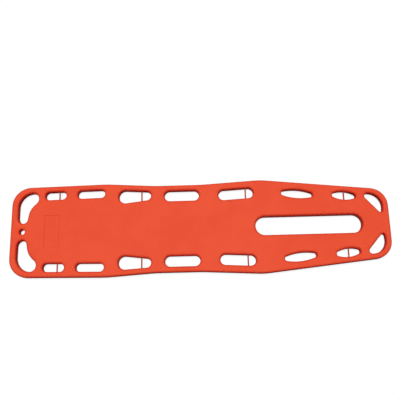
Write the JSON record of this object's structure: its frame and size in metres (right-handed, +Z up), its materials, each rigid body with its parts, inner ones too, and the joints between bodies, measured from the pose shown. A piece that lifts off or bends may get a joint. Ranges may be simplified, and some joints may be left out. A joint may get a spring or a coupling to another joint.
{
  "type": "spine board",
  "caption": "Long moulded spine board with hand holes round its rim, a leg slot, strap pins and runners underneath, for carrying a patient lying flat",
  "frame": {"origin": "middle of the board, on the surface that its runners stand on", "axes": "+X from the head end to the foot end, +Y to the left of a patient lying face up, +Z up out of the deck"},
  "size_m": [1.84, 0.4606, 0.05],
  "materials": {
    "shell": "satin moulded polyethylene, orange red",
    "foam": "rigid polyurethane foam, cream",
    "rod": "pultruded glass fibre",
    "pin": "glass-filled nylon, dark orange",
    "plug": "moulded polyethylene, orange red"
  },
  "bodies": {
    "root": {"board_shell": "shell", "foam_core": "foam", "stiffener_rod_left": "rod", "stiffener_rod_right": "rod", "strap_pin_shoulder_left": "pin", "strap_pin_shoulder_right": "pin", "strap_pin_chest_left": "pin", "strap_pin_chest_right": "pin", "strap_pin_hip_left": "pin", "strap_pin_hip_right": "pin", "strap_pin_ankle_left": "pin", "strap_pin_ankle_right": "pin", "fill_plug": "plug", "vent_plug": "plug"}
  },
  "joints": []
}
